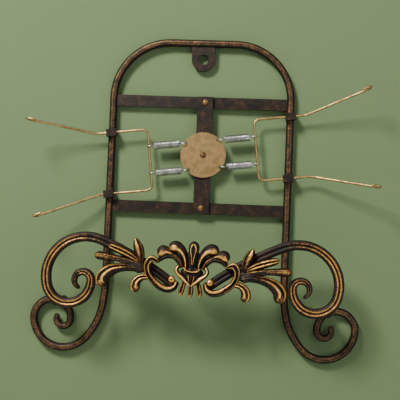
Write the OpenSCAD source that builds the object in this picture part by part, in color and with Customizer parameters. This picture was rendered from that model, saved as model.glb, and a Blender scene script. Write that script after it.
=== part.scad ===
// Wall rack that displays one large round plate.
// Forged scroll bars stand in front of the plate, carry a cast acanthus crest, and are held
// off the wall by two standoffs. A hoop of round bar behind the plate hangs on one eye, and
// two sprung wire claws, left and right, grip the plate's rim.
//
// Shapes are laid out as the front elevation: x to the right, y up, z out of the wall,
// measured from the middle of the crest. upright() then stands them up in the part's frame,
// whose origin is the middle of the hanging eye's bore: x right, z up, the viewer at -y.

/* [Plate] */
// Diameter of the plate that the claws grip
plate_d = 304.8; // [270:0.1:370]
// Depth of the plate, from its foot ring to the front of its rim
plate_depth = 24.5; // [16:0.5:34]
// Height of the plate's centre above the middle of the crest
plate_rise = 101; // [80:1:125]
// How far the plate's centre lies right of the rack's own middle
plate_shift = 3.4; // [-6:0.1:6]

/* [Front scrolls] */
// Width of the reeded bar, seen from the front
bar_w = 8.4; // [6:0.1:11]
// Depth of the reeded bar
bar_d = 7.4; // [5:0.1:10]
// Half the distance between the tops of the two front scrolls
scroll_top_x = 90; // [80:1:110]
// Height of the top of the front scrolls above the middle of the crest
scroll_top_y = 25; // [15:1:35]
// Radius of the outer shoulder of a front scroll
scroll_r = 33.5; // [28:0.5:41]
// Radius of the bottom of a front scroll
scroll_bottom_r = 19; // [15:0.5:23]
// Radius of the small inner curl of a front scroll
curl_r = 7.1; // [6.2:0.1:9]
// Gap between the plate's rim and the back of the reeded bars
rim_gap = 1.8; // [0.5:0.1:6]

/* [Crest] */
// How far the crest leans clockwise on the bars, in degrees
crest_lean = 2.8; // [0:0.1:4]
// How far the crest sits right of the rack's own middle
crest_shift = 0.7; // [0.3:0.1:2]
// Depth of the crest's relief in front of the bars
relief = 7.5; // [6:0.1:9]

/* [Back frame] */
// Diameter of the round bar of the back frame and its lower scrolls
back_d = 7; // [5:0.1:9]
// Radius of the lower scroll's outer sweep
lower_sweep_r = 58; // [48:1:70]
// Radius of the bottom of a lower scroll
lower_bottom_r = 26.5; // [22:0.5:32]
// Radius of the lobe that meets the front scroll
lower_lobe_r = 16.4; // [13.5:0.1:20]
// Radius of the small inner curl of a lower scroll
lower_curl_r = 6.3; // [5.5:0.1:7.5]
// Distance between the centre lines of the two scrolls where they pass each other
scroll_gap = 5.4; // [4:0.1:7]
// Height of the hoop's top bar above the plate's centre
hoop_rise = 100; // [92:1:125]
// Radius of the hoop's two upper corners
shoulder_r = 50; // [42:1:58]
// Thickness of the pads under the back bars
pad_t = 1.5; // [1:0.1:4]

/* [Fittings] */
// Diameter of the standoffs between the back frame and the front scrolls
standoff_d = 6.4; // [5:0.1:10]
// Radius of the hole in the hanging eye
eye_r = 4.5; // [3:0.1:6]
// Thickness of the hanging eye
eye_t = 2.5; // [1.5:0.1:4]
// Height of the flat cross bars
cross_h = 10; // [7:0.5:14]
// Thickness of the flat cross bars and of the strap
flat_t = 2.5; // [1.5:0.1:4]
// Diameter of every rivet's shank
rivet_d = 3; // [2:0.1:4]

/* [Claws] */
// Diameter of the claw wire
wire_d = 2.2; // [1.6:0.1:3]
// Turn of the claws about the plate's centre, in degrees
claw_turn = 7; // [0:0.5:10]
// Angle between the claws' axis and each of their hooks, in degrees
hook_spread = 16; // [12:0.5:22]
// Half the distance between a claw's two arms, where they slide
arm_half = 27; // [22:0.5:32]
// Length of a claw's hook over the rim
hook_l = 7.8; // [5:0.1:12]
// How far a claw can be pulled outwards
claw_travel = 15; // [8:0.5:15]

/* [Hidden] */
$fn = 48;

// Clearances
slide_clear = 0.1;      // round a claw wire in its guide
rivet_clear = 0.1;      // round a rivet's shank
hook_clear = 0.3;       // between a wire and what it hooks over
through = 1;            // how far a cut runs past the face that it opens

// Neighbouring lengths of a bent bar lap inside one another
lap = 0.3;              // how far the thinner length runs into the thicker one
lap_step = 0.02;        // how much thicker the outer length is, all round
arc_fn = 144;           // smoothness of a bend
section_fn = 48;        // smoothness of a section

// Colours
bronze = [0.22, 0.15, 0.09];
old_gold = [0.62, 0.43, 0.18];
brass = [0.55, 0.44, 0.22];
steel = [0.6, 0.6, 0.58];
felt = [0.12, 0.12, 0.12];

// Depths, out of the wall
back_z = pad_t + back_d / 2;
bore_r = wire_d / 2 + slide_clear;
guide_wall = 1.2;
wire_z = back_z + back_d / 2 + guide_wall + bore_r;
guide_front = wire_z + bore_r + guide_wall;
foot_clear = 0.5;
rim_z = guide_front + foot_clear + plate_depth;
bar_back = rim_z + rim_gap;
bar_front = bar_back + bar_d;
bar_z = bar_back + bar_d / 2;

// A path is a start, [x, y, heading], and a list of segments, [radius, turn], where a turn of
// 0 makes the radius a straight length and a positive turn goes anticlockwise.
function ahead(s, length) = [s[0] + length * cos(s[2]), s[1] + length * sin(s[2]), s[2]];

// Along a circle on the left of the path, or on its right where the radius is negative
function around(s, radius, turn) =
    let (h = s[2] + turn)
    [s[0] + radius * (sin(h) - sin(s[2])), s[1] - radius * (cos(h) - cos(s[2])), h];

function step(s, seg) =
    seg[1] == 0 ? ahead(s, seg[0]) : around(s, sign(seg[1]) * seg[0], seg[1]);

function along(s, segs, count) =
    count == 0 ? s : step(along(s, segs, count - 1), segs[count - 1]);

function path_end(s, segs) = along(s, segs, len(segs));

// One path that comes from the far end of `back`, through the start s, and on along `out`
function turned(s) = [s[0], s[1], s[2] + 180];
function through_start(s, back) = turned(path_end(turned(s), back));
function through_path(back, out) =
    concat([for (i = [len(back) - 1:-1:0]) [back[i][0], -back[i][1]]], out);

function centre_of(s, radius, turn) =
    let (k = sign(turn) * radius) [s[0] - k * sin(s[2]), s[1] + k * cos(s[2])];

// Front scroll: from its top outwards round the scroll to its curl
front_top = [scroll_top_x, scroll_top_y, 0];
front_out = [[scroll_r, -106], [scroll_bottom_r, -167], [curl_r, -253]];
bottom_start = along(front_top, front_out, 1);
bottom_centre = centre_of(bottom_start, scroll_bottom_r, -1);

// Front scroll: from its top inwards to its end behind the crest
bar_end_x = 12.5;
neck_r = 36;
neck_turn = 22;
sweep_r = 268;
sweep_start = step(turned(front_top), [neck_r, neck_turn]);
sweep_end = 180 - asin(sin(sweep_start[2]) - (sweep_start[0] - bar_end_x) / sweep_r);
front_in = [[neck_r, neck_turn], [sweep_r, sweep_end - sweep_start[2]]];
front_start = through_start(front_top, front_in);
front_path = through_path(front_in, front_out);
sweep_centre = centre_of(sweep_start, sweep_r, 1);

// Height of the front bar's centre line at a distance x from the middle
function bar_y(x) = sweep_centre[1] + sqrt(pow(sweep_r, 2) - pow(x - sweep_centre[0], 2));

// Lower scroll: laid out from the lobe that passes under the front scroll
meet_angle = -59;
meet = [cos(meet_angle), sin(meet_angle)];
lobe_centre = bottom_centre + (scroll_bottom_r + scroll_gap + lower_lobe_r) * meet;
standoff_at = bottom_centre + (scroll_bottom_r + scroll_gap / 2) * meet;
lobe_side = -3.4;
lobe_start = [
    lobe_centre[0] + lower_lobe_r * cos(lobe_side),
    lobe_centre[1] + lower_lobe_r * sin(lobe_side),
    lobe_side + 90
];
lower_in = [[lower_lobe_r, 190], [lower_curl_r, 220]];
lower_out = [[lower_bottom_r, -133.5], [lower_sweep_r, -34.2]];
lower_from = [lobe_start[0], lobe_start[1], lobe_start[2] + 180];
upright_foot = path_end(lower_from, lower_out);
lean_r = 150;
upright_start = step(upright_foot, [lean_r, 90 - upright_foot[2]]);
upright_x = upright_start[0];
hoop_y = plate_rise + hoop_rise;
upright_l = hoop_y - shoulder_r - upright_start[1];
back_start = through_start(lower_from, lower_in);
back_path = through_path(lower_in, concat(lower_out, [
    [lean_r, 90 - upright_foot[2]],
    [upright_l, 0],
    [shoulder_r, 90],
    [upright_x - shoulder_r, 0]
]));
foot_centre = centre_of(lower_from, lower_bottom_r, -1);

// Hanging eye
eye_drop = 11;
eye_y = hoop_y - back_d / 2 - eye_drop;
eye_rim = 6;

// Pads
pad_inset = 0.6;        // how much narrower a pad is than its bar
pad_d = back_d - pad_inset;

// Cross bars and strap
cross_spare = 1;
cross_z = back_z - flat_t / 2;
strap_w = 14;
strap_z = cross_z + flat_t;
hub_z = strap_z + flat_t;
hub_r = 20;
hub_t = 2;
head_d = rivet_d * 1.8;
head_h = rivet_d * 0.5;

// Springs and claws, in the claws' own frame

// Where an arm crosses an upright, along the claws' axis
function arm_cross(side, level) =
    (side * upright_x - plate_shift + level * arm_half * sin(claw_turn)) / cos(claw_turn);

spring_y = 12;
spring_hole = [14, spring_y];
spring_hole_r = 1.5;
loop_r = 3;
spring_wire_r = 0.45;
spring_r = 3.5;
guide_l = 9;
guide_w = 6.4;
arm_crosses = [for (side = [-1, 1], level = [-1, 1]) abs(arm_cross(side, level))];
leg_bend = 5;
leg_spare = 1;
leg_x = min(arm_crosses) - guide_l / 2 - claw_travel - leg_bend - leg_spare;
splay_bend = 6;
splay_spare = 2;
splay_x = max(arm_crosses) + guide_l / 2 + splay_spare;
hook_foot_bend = 3;
hook_bend = 2.2;
rim_t = 9;
hook_r = plate_d / 2 + hook_clear + wire_d / 2;
hook_z = rim_z + hook_clear + wire_d / 2;
inner_loop_x = sqrt(pow(hub_r, 2) - pow(spring_y, 2)) + hook_clear + spring_wire_r;
cross_offset = arm_half * cos(claw_turn) + (max(arm_crosses) + guide_l / 2) * sin(claw_turn)
    + guide_w / 2 + cross_h / 2 + cross_spare;
outer_loop_x = leg_x - (loop_r - spring_wire_r - wire_d / 2 - hook_clear);

// Crest
crest_z = bar_front;
bulb_rise = 1;          // how far a bulb stands above the rest of the relief
back_spare = 2;         // how far a relief form of full height starts behind the casting's back
stem_sink = 0.4;        // how far a round stem is cut flat at its back
stem_r = 2.9;
tendril_r = 3.1;
long_tendril_r = 3.7;
boss_r = 3.6;
boss_t = 3.6;
boss_skin = 0.5;        // left in front of a blind rivet hole
rivet_reach = 0.5;      // from a rivet's end to the bottom of its hole
rivet_spots = [16.5, 36];
spray_spot = 49;
crest_seat = 1.9;       // height in the casting where the bars pass behind its outer rivets
crest_lift = bar_y(rivet_spots[1]) - crest_seat;

// Stands an elevation up in the part's frame, with the eye's bore at the origin
module upright() {
    translate([0, back_z, -eye_y])
        rotate([90, 0, 0])
            children();
}

// Puts a shape in the claws' frame: x along their axis, from the plate's centre
module claw_frame() {
    translate([plate_shift, plate_rise, 0])
        rotate([0, 0, claw_turn])
            children();
}

module mirrored(left) {
    mirror([left ? 1 : 0, 0, 0])
        children();
}

// Sweeps a section, x across the path and y out of the wall, along one segment
module segment(s, seg) {
    if (seg[1] == 0) {
        translate([s[0], s[1], 0])
            rotate([0, 0, s[2]])
                rotate([90, 0, 90])
                    linear_extrude(seg[0])
                        children();
    } else {
        centre = centre_of(s, seg[0], seg[1]);
        from = seg[1] > 0 ? s[2] - 90 : s[2] + 90 + seg[1];
        translate([centre[0], centre[1], 0])
            rotate([0, 0, from])
                rotate_extrude(angle = abs(seg[1]), $fn = arc_fn)
                    translate([seg[0], 0])
                        children();
    }
}

// The segment with its ends lengthened by two given laps
function lap_turn(seg, length) = sign(seg[1]) * length / seg[0] * 180 / PI;
function lapped(seg, before, after) =
    seg[1] == 0
    ? [seg[0] + before + after, 0]
    : [seg[0], seg[1] + lap_turn(seg, before + after)];
function lapped_start(s, seg, before) =
    seg[1] == 0
    ? ahead(s, -before)
    : around(s, sign(seg[1]) * seg[0], -lap_turn(seg, before));

// Sweeps a section along a path: children(0) is the thicker section, children(1) the thinner
module sweep_path(s, segs) {
    last = len(segs) - 1;
    for (i = [0:last]) {
        before = i > 0 && i % 2 == 1 ? lap : 0;
        after = i < last && i % 2 == 1 ? lap : 0;
        at = along(s, segs, i);
        segment(lapped_start(at, segs[i], before), lapped(segs[i], before, after))
            children(i % 2);
    }
}

module sweep_round(s, segs, r) {
    sweep_path(s, segs) {
        circle(r + lap_step, $fn = section_fn);
        circle(r, $fn = section_fn);
    }
}

// Round wire through 3D points, with a bend radius at each inner point
module wire(points, bends, r) {
    last = len(points) - 1;
    dirs = [for (i = [0:last - 1]) (points[i + 1] - points[i]) / norm(points[i + 1] - points[i])];
    turns = [for (i = [0:last]) i == 0 || i == last ? 0 : acos(dirs[i - 1] * dirs[i])];
    trims = [for (i = [0:last]) i == 0 || i == last ? 0 : bends[i] * tan(turns[i] / 2) - lap];
    for (i = [0:last - 1]) {
        from = points[i] + dirs[i] * trims[i];
        straight = norm(points[i + 1] - points[i]) - trims[i] - trims[i + 1];
        side = abs(dirs[i][2]) > 0.9 ? [1, 0, 0] : [0, 0, 1];
        axis_x = cross(side, dirs[i]) / norm(cross(side, dirs[i]));
        place(from, axis_x, cross(dirs[i], axis_x), dirs[i])
            cylinder(h = straight, r = r);
    }
    for (i = [1:last - 1]) {
        bend_axis = cross(dirs[i - 1], dirs[i]) / norm(cross(dirs[i - 1], dirs[i]));
        inward = cross(bend_axis, dirs[i - 1]);
        centre = points[i] - dirs[i - 1] * (trims[i] + lap) + inward * bends[i];
        place(centre, -inward, dirs[i - 1], bend_axis)
            rotate_extrude(angle = turns[i], $fn = arc_fn)
                translate([bends[i], 0])
                    circle(r + lap_step, $fn = section_fn);
    }
}

// Moves a shape to a point, with its own axes along three given directions
module place(at, axis_x, axis_y, axis_z) {
    multmatrix([
        [axis_x[0], axis_y[0], axis_z[0], at[0]],
        [axis_x[1], axis_y[1], axis_z[1], at[1]],
        [axis_x[2], axis_y[2], axis_z[2], at[2]],
        [0, 0, 0, 1]
    ])
        children();
}

// Flat back, two round beads in front; grown makes it thicker all round
module reeded_section(grown) {
    bead_r = bar_w / 4 + 0.2;
    for (side = [-1, 1])
        translate([side * (bar_w / 2 - bead_r), bar_d / 2 - bead_r])
            circle(bead_r + grown, $fn = section_fn);
    translate([-bar_w / 2 - grown, -bar_d / 2 - grown])
        square([bar_w + 2 * grown, bar_d - bead_r + grown]);
}

module front_bar() {
    translate([0, 0, bar_z])
        sweep_path(front_start, front_path) {
            reeded_section(0);
            reeded_section(-lap_step);
        }
}

module front_scroll(left) {
    color(bronze)
        upright()
            mirrored(left)
                difference() {
                    front_bar();
                    for (x = concat(rivet_spots, [spray_spot]))
                        translate([x, bar_y(x), bar_back - through])
                            cylinder(h = bar_d + 2 * through, d = rivet_d + 2 * rivet_clear);
                }
}

module back_bar_shape() {
    translate([0, 0, back_z])
        sweep_round(back_start, back_path, back_d / 2);
}

module back_bar(left) {
    color(bronze)
        upright()
            mirrored(left)
                back_bar_shape();
}

module hanging_eye() {
    color(bronze)
        upright()
            difference() {
                translate([0, 0, back_z - eye_t / 2])
                    linear_extrude(eye_t)
                        difference() {
                            union() {
                                translate([0, eye_y])
                                    circle(eye_r + eye_rim);
                                translate([-eye_r - eye_rim, eye_y])
                                    square([2 * (eye_r + eye_rim), eye_drop + back_d / 2]);
                            }
                            translate([0, eye_y])
                                circle(eye_r);
                        }
                translate([-2 * eye_r - eye_rim, hoop_y, back_z])
                    rotate([0, 90, 0])
                        cylinder(h = 4 * eye_r + 2 * eye_rim, d = back_d);
            }
}

module cross_bar(y) {
    color(bronze)
        upright()
            difference() {
                translate([-upright_x, y - cross_h / 2, cross_z])
                    cube([2 * upright_x, cross_h, flat_t]);
                for (left = [false, true])
                    mirrored(left)
                        back_bar_shape();
                rivet_hole(plate_shift, y, cross_z, flat_t);
            }
}

module rivet_hole(x, y, z, depth) {
    translate([x, y, z - through])
        cylinder(h = depth + 2 * through, d = rivet_d + 2 * rivet_clear);
}

module centre_strap() {
    color(bronze)
        upright()
            difference() {
                translate([plate_shift - strap_w / 2, plate_rise - cross_offset - cross_h / 2, strap_z])
                    cube([strap_w, 2 * cross_offset + cross_h, flat_t]);
                for (offset = [-cross_offset, 0, cross_offset])
                    rivet_hole(plate_shift, plate_rise + offset, strap_z, flat_t);
            }
}

module spring_hub() {
    color(brass)
        upright()
            claw_frame()
                difference() {
                    translate([0, 0, hub_z])
                        cylinder(h = hub_t, r = hub_r);
                    rivet_hole(0, 0, hub_z, hub_t);
                    for (side = [-1, 1], level = [-1, 1])
                        translate([side * spring_hole[0], level * spring_hole[1], hub_z - through])
                            cylinder(h = hub_t + 2 * through, r = spring_hole_r);
                }
}

// Rivet from the back face at z to the front face at z + grip
module rivet(grip) {
    cylinder(h = grip, d = rivet_d);
    for (end = [-head_h, grip])
        translate([0, 0, end])
            cylinder(h = head_h, d = head_d);
}

module frame_rivets() {
    color(bronze)
        upright() {
            for (offset = [-cross_offset, cross_offset])
                translate([plate_shift, plate_rise + offset, cross_z])
                    rivet(2 * flat_t);
            translate([plate_shift, plate_rise, strap_z])
                rivet(flat_t + hub_t);
        }
}

module guide_blocks() {
    color(bronze)
        upright()
            for (side = [-1, 1], level = [-1, 1])
                difference() {
                    claw_frame()
                        translate([arm_cross(side, level), level * arm_half, back_z])
                            translate([-guide_l / 2, -guide_w / 2, 0])
                                cube([guide_l, guide_w, guide_front - back_z]);
                    translate([side * upright_x, upright_start[1], back_z])
                        rotate([-90, 0, 0])
                            cylinder(h = upright_l, d = back_d);
                    claw_frame()
                        translate([arm_cross(side, level) - guide_l, level * arm_half, wire_z])
                            rotate([0, 90, 0])
                                cylinder(h = 2 * guide_l, r = bore_r);
                }
}

module wall_pads() {
    color(felt)
        upright()
            for (left = [false, true])
                mirrored(left)
                    difference() {
                        for (at = [
                            [upright_x, upright_start[1] + upright_l - pad_d],
                            [foot_centre[0], foot_centre[1] - lower_bottom_r]
                        ])
                            translate(at)
                                cylinder(h = back_z - back_d / 4, d = pad_d);
                        back_bar_shape();
                    }
}

module standoff(left) {
    color(bronze)
        upright()
            mirrored(left)
                difference() {
                    translate([standoff_at[0], standoff_at[1], back_z])
                        cylinder(h = bar_back - back_z, d = standoff_d);
                    translate([0, 0, back_z])
                        sweep_round(lobe_start, [lower_in[0]], back_d / 2);
                }
}

// Leaf blade between two points, as wide as given at its middle
module blade(from, to, width) {
    half = norm(to - from) / 2;
    rise = width / 2;
    arc_r = (pow(half, 2) + pow(rise, 2)) / (2 * rise);
    heading = atan2(to[1] - from[1], to[0] - from[0]);
    translate((from + to) / 2)
        rotate(heading)
            intersection_for (side = [-1, 1])
                translate([0, side * (arc_r - rise)])
                    circle(arc_r);
}

// Flat form of a given height; it starts behind the casting's back, which is cut flat afterwards
module flat_relief(height) {
    translate([0, 0, crest_z + height - relief - back_spare])
        linear_extrude(relief + back_spare)
            children();
}

// What the casting's flat back is cut with
module behind_crest() {
    depth = 2 * relief + back_spare;
    translate([-scroll_top_x, -scroll_top_x, crest_z - depth])
        cube([2 * scroll_top_x, 2 * scroll_top_x, depth]);
}

// Round stem through s, backwards along one path and forwards along another
module stem(s, back, out, r) {
    translate([0, 0, crest_z + r - stem_sink])
        sweep_round(through_start(s, back), through_path(back, out), r);
}

// Round boss under the bulb of a scroll or a tendril
module bulb(x, y, r) {
    flat_relief(relief + bulb_rise)
        translate([x, y])
            circle(r);
}

module rivet_boss(x) {
    flat_relief(boss_t)
        translate([x, bar_y(x)])
            circle(boss_r);
}

module crest_rivet_hole(x) {
    translate([x, bar_y(x), crest_z - through])
        cylinder(h = through + boss_t - boss_skin, d = rivet_d + 2 * rivet_clear);
}

// One half of the crest's middle: arch, volute and lower tendril
module crest_half() {
    stem([6.4, 6.5, 90], [[7, 0]], [[9.6, -150]], stem_r);
    bulb(15.4, 19, 5);
    bulb(25.4, 14.4, 4.6);
    stem([37.6, 1.2, -90], [[2.2, 0], [4.4, 150]], [[14, -46], [30, -37], [5.2, -150]], stem_r);
    bulb(16, -8.4, 2.9);
    stem([40, -9, 0], [[18, 28]], [[6.2, -88], [3, 0]], tendril_r);
    bulb(45.6, -19, 3.6);
}

// Bud, collar and drops
module crest_heart() {
    flat_relief(relief)
        hull() {
            translate([0, 20.3])
                circle(4.5);
            translate([0, 1])
                circle(1.4);
        }
    flat_relief(relief - 1)
        polygon([
            [-13.4, 3], [13.4, 3], [12.4, -3.4], [6.8, -8.4], [9.4, -11.4],
            [9.4, -14], [-9.4, -14], [-9.4, -11.4], [-6.8, -8.4], [-12.4, -3.4]
        ]);
    for (side = [-1:1])
        flat_relief(relief)
            hull() {
                translate([7 * side, -13])
                    circle(2.7);
                translate([7.8 * side, -19.6])
                    circle(2.2);
            }
}

// Seats the crest's casting on the bars
module crest_seated() {
    translate([crest_shift, crest_lift])
        rotate(-crest_lean)
            children();
}

module crest_centre() {
    color(old_gold)
        upright()
            difference() {
                union() {
                    crest_seated() {
                        crest_heart();
                        for (left = [false, true])
                            mirrored(left)
                                crest_half();
                    }
                    for (left = [false, true], x = rivet_spots)
                        mirrored(left)
                            rivet_boss(x);
                }
                for (left = [false, true], x = rivet_spots)
                    mirrored(left)
                        crest_rivet_hole(x);
                behind_crest();
            }
}

// Leaves and long tendril of a spray
module spray_leaves() {
    flat_relief(relief)
        blade([43.2, 2], [49.6, 23.4], 8);
    flat_relief(relief - 0.6)
        blade([46, 4], [71, 15], 7);
    flat_relief(relief - 0.3)
        hull() {
            translate([49, 2])
                circle(2.6);
            translate([79.6, 5.6])
                circle(2.8);
        }
    stem([57.5, -2.2, 0], [[38, 12]], [[17, -66]], long_tendril_r);
    bulb(74, -14.8, 4.8);
}

// Plate behind a spray, from the root of its leaves to its rivet
module spray_root(left) {
    flat_relief(relief - 1.4)
        hull() {
            crest_seated()
                mirrored(left)
                    translate([46.4, -0.4])
                        circle(3.6);
            mirrored(left)
                translate([spray_spot, bar_y(spray_spot)])
                    circle(boss_r);
        }
}

module crest_spray(left) {
    color(old_gold)
        upright()
            difference() {
                union() {
                    crest_seated()
                        mirrored(left)
                            spray_leaves();
                    spray_root(left);
                }
                mirrored(left)
                    crest_rivet_hole(spray_spot);
                behind_crest();
            }
}

module crest_rivets() {
    color(bronze)
        upright()
            for (left = [false, true], x = concat(rivet_spots, [spray_spot]))
                mirrored(left)
                    translate([x, bar_y(x), bar_back - head_h]) {
                        cylinder(h = head_h, d = head_d);
                        cylinder(h = head_h + bar_d + boss_t - boss_skin - rivet_reach, d = rivet_d);
                    }
}

// One bent wire: hook, arm, cross leg, arm, hook
module claw_wire(left) {
    hook_c = cos(hook_spread);
    hook_s = sin(hook_spread);
    tip_r = hook_r - hook_l;
    arm = [
        [tip_r * hook_c, tip_r * hook_s, hook_z],
        [hook_r * hook_c, hook_r * hook_s, hook_z],
        [hook_r * hook_c, hook_r * hook_s, rim_z - rim_t],
        [splay_x, arm_half, wire_z],
        [leg_x, arm_half, wire_z]
    ];
    other = [for (i = [len(arm) - 1:-1:0]) [arm[i][0], -arm[i][1], arm[i][2]]];
    bends = [0, hook_bend, hook_foot_bend, splay_bend, leg_bend];
    other_bends = [for (i = [len(bends) - 1:-1:0]) bends[i]];
    color(brass)
        upright()
            claw_frame()
                mirrored(left)
                    wire(concat(arm, other), concat(bends, other_bends), wire_d / 2);
}

// Close-wound extension spring with a loop at each end, drawn as its outer cylinder
module spring(left, level) {
    color(steel)
        upright()
            claw_frame()
                mirrored(left)
                    translate([0, level * spring_y, wire_z]) {
                        for (x = [inner_loop_x, outer_loop_x])
                            translate([x, 0, 0])
                                rotate([90, 0, 0])
                                    rotate_extrude()
                                        translate([loop_r, 0])
                                            circle(spring_wire_r);
                        translate([inner_loop_x + loop_r, 0, 0])
                            rotate([0, 90, 0])
                                cylinder(h = outer_loop_x - inner_loop_x - 2 * loop_r, r = spring_r);
                    }
}

back_bar(true);  // back_bar_left
back_bar(false);  // back_bar_right
hanging_eye();
cross_bar(plate_rise + cross_offset);  // upper_cross_bar
cross_bar(plate_rise - cross_offset);  // lower_cross_bar
centre_strap();
spring_hub();
frame_rivets();
guide_blocks();
wall_pads();
standoff(true);  // standoff_left
standoff(false);  // standoff_right
front_scroll(true);  // front_scroll_left
front_scroll(false);  // front_scroll_right
crest_centre();
crest_spray(true);  // crest_spray_left
crest_spray(false);  // crest_spray_right
crest_rivets();
claw_wire(true);  // claw_wire_left
claw_wire(false);  // claw_wire_right
spring(true, 1);  // spring_left_upper
spring(true, -1);  // spring_left_lower
spring(false, 1);  // spring_right_upper
spring(false, -1);  // spring_right_lower
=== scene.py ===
import math

import bmesh
import bpy
import numpy as np
from mathutils import Matrix, Vector, noise


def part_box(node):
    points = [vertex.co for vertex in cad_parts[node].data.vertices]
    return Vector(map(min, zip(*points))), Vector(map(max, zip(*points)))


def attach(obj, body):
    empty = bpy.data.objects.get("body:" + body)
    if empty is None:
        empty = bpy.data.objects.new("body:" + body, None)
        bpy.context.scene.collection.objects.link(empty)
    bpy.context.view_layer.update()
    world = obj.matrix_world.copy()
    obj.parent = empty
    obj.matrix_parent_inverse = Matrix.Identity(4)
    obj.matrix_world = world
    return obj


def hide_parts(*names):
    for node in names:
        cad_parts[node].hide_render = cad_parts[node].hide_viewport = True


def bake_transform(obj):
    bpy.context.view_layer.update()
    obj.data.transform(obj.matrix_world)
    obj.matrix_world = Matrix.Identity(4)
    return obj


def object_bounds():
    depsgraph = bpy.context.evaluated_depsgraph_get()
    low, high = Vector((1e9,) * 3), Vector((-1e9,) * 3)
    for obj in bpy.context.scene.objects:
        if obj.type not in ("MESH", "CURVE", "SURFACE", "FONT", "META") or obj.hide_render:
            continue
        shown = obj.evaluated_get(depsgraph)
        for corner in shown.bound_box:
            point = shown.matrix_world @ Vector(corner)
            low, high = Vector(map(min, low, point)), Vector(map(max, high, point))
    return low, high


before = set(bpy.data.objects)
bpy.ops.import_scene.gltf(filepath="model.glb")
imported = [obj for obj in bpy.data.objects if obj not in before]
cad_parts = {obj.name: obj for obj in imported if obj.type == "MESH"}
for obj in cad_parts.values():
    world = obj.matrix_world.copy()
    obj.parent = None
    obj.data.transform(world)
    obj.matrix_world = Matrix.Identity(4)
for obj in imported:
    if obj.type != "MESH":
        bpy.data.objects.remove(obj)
cad_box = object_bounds()

# The wall plate rack: finish of every piece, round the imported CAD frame.
# Shapes are laid out in millimetres as the front elevation, as in the part's source: x to the
# right, y up from the middle of the crest, z out of the wall. rows() turns them into the frame.

MM = 0.001

# ---- Sizes shared with the part's source -----------------------------------------------------

BACK_Z = 5.0            # middle of the back frame, out of the wall
BACK_R = 3.5            # radius of the back frame's bar
BAR_W = 8.4             # width of a reeded front bar
BAR_D = 7.4             # its depth
FRONT_TOP = (90.0, 25.0, 0.0)   # middle of the bar at the top of the right front scroll
PLATE_RISE = 101.0      # height of the plate's centre above the middle of the crest
PLATE_SHIFT = 3.4       # how far the plate's centre lies right of the rack's own middle
HOOP_RISE = 100.0       # from the plate's centre up to the hoop's top bar
SHOULDER_R = 50.0       # radius of the hoop's shoulders
HUB_R = 20.0
RIVET_R = 1.5
RIVET_SPOTS = (16.5, 36.0, 49.0)    # distances of the crest's rivets from the middle
CREST_SEAT = 1.9        # height in the casting where the bars pass behind its outer rivets
CREST_LEAN = 2.8        # degrees clockwise
CREST_SHIFT = 0.7       # how far the crest sits right of the rack's own middle
WIRE_R = 1.1            # radius of a claw's wire
CLAW_TURN = 7.0         # degrees that the claws' axis leans anticlockwise
HOOK_SPREAD = 16.0      # degrees from the claws' axis to a hook, seen from the plate's centre
ARM_HALF = 27.0         # half the distance between a claw's two arms
HOOK_L = 7.8            # reach of a hook over the rim
PLATE_R = 152.4
SPRING_Y = 12.0         # distance of a spring from the claws' axis
SPRING_R = 3.5          # outer radius of a spring
SPRING_WIRE_R = 0.45
LOOP_R = 3.0            # radius of a spring's end loop
HOOK_CLEAR = 0.3        # between a wire and what it hooks over

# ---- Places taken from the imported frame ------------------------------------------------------

eye_y = FRONT_TOP[1] + BAR_W / 2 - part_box("front_scroll_right")[1].z / MM
bar_front = BACK_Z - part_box("front_scroll_right")[0].y / MM
bar_back = bar_front - BAR_D
bar_z = bar_front - BAR_D / 2
crest_z = bar_front
hook_z = BACK_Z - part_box("claw_wire_right")[0].y / MM - WIRE_R
wire_z = BACK_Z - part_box("spring_right_upper")[0].y / MM - SPRING_R
hub_front = BACK_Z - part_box("spring_hub")[0].y / MM
strap_front = BACK_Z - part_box("centre_strap")[0].y / MM


def rows(points):
    """Elevation points, in millimetres, in the row frame, in metres."""
    p = np.asarray(points, float)
    return np.stack([p[..., 0], BACK_Z - p[..., 2], p[..., 1] - eye_y], -1) * MM


# ---- Paths of arcs and straights -------------------------------------------------------------


def ahead(s, length):
    """Straight on from a place s, which is x, y and a heading in degrees."""
    h = math.radians(s[2])
    return (s[0] + length * math.cos(h), s[1] + length * math.sin(h), s[2])


def around(s, radius, turn):
    """Along a circle on the left of the path, or on its right where the radius is negative."""
    a, b = math.radians(s[2]), math.radians(s[2] + turn)
    return (
        s[0] + radius * (math.sin(b) - math.sin(a)),
        s[1] - radius * (math.cos(b) - math.cos(a)),
        s[2] + turn,
    )


def step(s, segment):
    """One segment on: a length and 0 for a straight, or a radius and its turn in degrees."""
    size, turn = segment
    return ahead(s, size) if turn == 0 else around(s, math.copysign(size, turn), turn)


def path_end(s, segments):
    """The place where a path from s ends."""
    for segment in segments:
        s = step(s, segment)
    return s


def turned(s):
    """The same place, facing back."""
    return (s[0], s[1], s[2] + 180)


def centre_of(s, radius, turn):
    """The centre of an arc that starts at s."""
    k = math.copysign(radius, turn)
    h = math.radians(s[2])
    return np.array([s[0] - k * math.sin(h), s[1] + k * math.cos(h)])


def through(s, back, out):
    """One path from the far end of back, through s, and on along out: its start and segments."""
    start = turned(path_end(turned(s), back))
    return start, [(size, -turn) for size, turn in reversed(back)] + list(out)


def trace(s, segments, spacing):
    """Points about that far apart along a path, as an array of x, y and heading."""
    points = [s]
    for size, turn in segments:
        length = size if turn == 0 else size * math.radians(abs(turn))
        count = max(2, round(length / spacing))
        for k in range(1, count + 1):
            points.append(step(s, (size * k / count, 0) if turn == 0 else (size, turn * k / count)))
        s = step(s, (size, turn))
    return np.array(points)


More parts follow.
